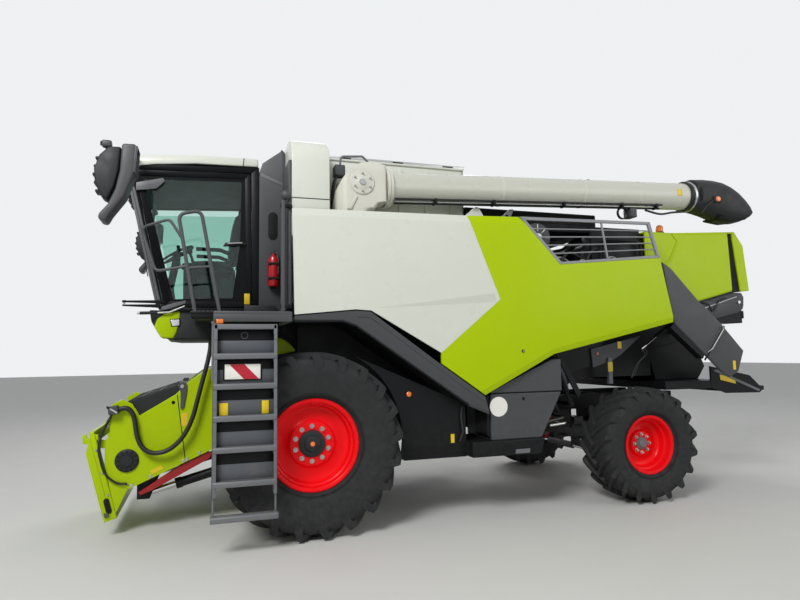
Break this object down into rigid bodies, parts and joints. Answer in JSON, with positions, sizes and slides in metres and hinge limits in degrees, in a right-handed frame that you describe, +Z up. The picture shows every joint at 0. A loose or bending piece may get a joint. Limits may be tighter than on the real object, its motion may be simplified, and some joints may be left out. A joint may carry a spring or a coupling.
{
  "type": "combine harvester",
  "caption": "Self-propelled combine harvester without a header, with a cab, a raised grain tank, a folded unloading tube, a feeder house and steered rear wheels",
  "frame": {"origin": "middle of the footprint on the ground under the wheels", "axes": "+X to the rear, -X is driving direction, the driver's left side is at -Y, +Z up"},
  "size_m": [8.1552, 3.56, 3.92],
  "materials": {
    "lime": "gloss",
    "off_white": "gloss",
    "dark_grey": "satin",
    "black_paint": "satin",
    "black_plastic": "matte",
    "rim_red": "gloss",
    "tyre": "matte",
    "glass": "gloss",
    "steel": "polished",
    "hose_rubber": "matte",
    "seat_fabric": "matte",
    "lamp_orange": "gloss"
  },
  "bodies": {
    "machine": {"chassis": "dark_grey", "front_axle": "dark_grey", "rear_axle": "dark_grey", "threshing_body": "dark_grey", "grain_tank": "off_white", "tank_front": "dark_grey", "engine": "black_paint", "rear_hood": "lime", "rear_covers": "dark_grey", "spreader": "black_paint", "side_skirts": "dark_grey", "lockers": "dark_grey", "cab_frame": "black_paint", "cab_roof": "off_white", "cab_glass": "glass", "cab_seat": "seat_fabric", "cab_controls": "black_plastic", "platform": "dark_grey", "mirrors": "black_plastic", "lamps": "lamp_orange", "feeder_hose": "hose_rubber"},
    "door": {"cab_door": "black_paint", "door_glass": "glass"},
    "ladder": {"ladder": "dark_grey"},
    "feeder": {"feeder_house": "lime", "feeder_front": "lime"},
    "lift_barrels": {"lift_barrels": "black_paint"},
    "lift_rods": {"lift_rods": "steel"},
    "unloader": {"turret": "off_white", "unloading_tube": "off_white", "spout": "black_plastic"},
    "lid_left": {"tank_lid_left": "off_white"},
    "lid_right": {"tank_lid_right": "off_white"},
    "panel_left": {"panel_white_left": "off_white", "panel_green_left": "lime"},
    "panel_right": {"panel_white_right": "off_white", "panel_green_right": "lime"},
    "front_wheel_left": {"front_rim_left": "rim_red", "front_tyre_left": "tyre"},
    "front_wheel_right": {"front_rim_right": "rim_red", "front_tyre_right": "tyre"},
    "knuckle_left": {"knuckle_left": "dark_grey"},
    "knuckle_right": {"knuckle_right": "dark_grey"},
    "steering_rod": {"steering_rod": "steel"},
    "rear_wheel_left": {"rear_rim_left": "rim_red", "rear_tyre_left": "tyre"},
    "rear_wheel_right": {"rear_rim_right": "rim_red", "rear_tyre_right": "tyre"}
  },
  "joints": [
    {"name": "front_left_spin", "type": "hinge", "parent": "machine", "child": "front_wheel_left", "pos_m": [-1.965, -1.26, 0.88], "axis": [0, 1, 0], "continuous": true},
    {"name": "front_right_spin", "type": "hinge", "parent": "machine", "child": "front_wheel_right", "pos_m": [-1.965, 1.26, 0.88], "axis": [0, 1, 0], "continuous": true},
    {"name": "steer_left", "type": "hinge", "parent": "machine", "child": "knuckle_left", "pos_m": [1.885, -0.93, 0.65], "axis": [0, 0, 1], "range_deg": [-40, 40]},
    {"name": "steer_right", "type": "hinge", "parent": "machine", "child": "knuckle_right", "pos_m": [1.885, 0.93, 0.65], "axis": [0, 0, 1], "range_deg": [-40, 40]},
    {"name": "steering_slide", "type": "slide", "parent": "machine", "child": "steering_rod", "axis": [0, 1, 0], "range_m": [-0.16, 0.16]},
    {"name": "rear_left_spin", "type": "hinge", "parent": "knuckle_left", "child": "rear_wheel_left", "pos_m": [1.885, -1.295, 0.65], "axis": [0, 1, 0], "continuous": true},
    {"name": "rear_right_spin", "type": "hinge", "parent": "knuckle_right", "child": "rear_wheel_right", "pos_m": [1.885, 1.295, 0.65], "axis": [0, 1, 0], "continuous": true},
    {"name": "feeder_lift", "type": "hinge", "parent": "machine", "child": "feeder", "pos_m": [-2.315, 0, 1.42], "axis": [0, 1, 0], "range_deg": [-3, 21]},
    {"name": "lift_swing", "type": "hinge", "parent": "machine", "child": "lift_barrels", "pos_m": [-2.215, 0, 0.7], "axis": [0, 1, 0], "range_deg": [-4, 22]},
    {"name": "lift_stroke", "type": "slide", "parent": "lift_barrels", "child": "lift_rods", "axis": [-0.9679, 0, -0.2512], "range_m": [-0.05, 0.28]},
    {"name": "unloader_swing", "type": "hinge", "parent": "machine", "child": "unloader", "pos_m": [-1.515, -1.23, 3.12], "axis": [0, 0, -1], "range_deg": [0, 100]},
    {"name": "door_hinge", "type": "hinge", "parent": "machine", "child": "door", "pos_m": [-3.705, -0.955, 2.9], "axis": [0, 0, -1], "range_deg": [0, 37]},
    {"name": "ladder_swing", "type": "hinge", "parent": "machine", "child": "ladder", "pos_m": [-2.87, -1.665, 1.2], "axis": [0, 0, -1], "range_deg": [0, 170]},
    {"name": "lid_left_hinge", "type": "hinge", "parent": "machine", "child": "lid_left", "pos_m": [-0.965, -1, 3.85], "axis": [1, 0, 0], "range_deg": [0, 100]},
    {"name": "lid_right_hinge", "type": "hinge", "parent": "machine", "child": "lid_right", "pos_m": [-0.965, 1, 3.85], "axis": [-1, 0, 0], "range_deg": [0, 100]},
    {"name": "panel_left_hinge", "type": "hinge", "parent": "machine", "child": "panel_left", "pos_m": [0.035, -1.5, 3.17], "axis": [-1, 0, 0], "range_deg": [0, 80]},
    {"name": "panel_right_hinge", "type": "hinge", "parent": "machine", "child": "panel_right", "pos_m": [0.035, 1.5, 3.17], "axis": [1, 0, 0], "range_deg": [0, 80]}
  ],
  "couplings": [
    {"joint": "steer_right", "follows": "steer_left", "ratio": 1},
    {"joint": "steering_slide", "follows": "steer_left", "m_per_rad": -0.22},
    {"joint": "lift_swing", "follows": "feeder_lift", "ratio": 0.98449},
    {"joint": "lift_stroke", "follows": "feeder_lift", "m_per_rad": 0.72148}
  ]
}
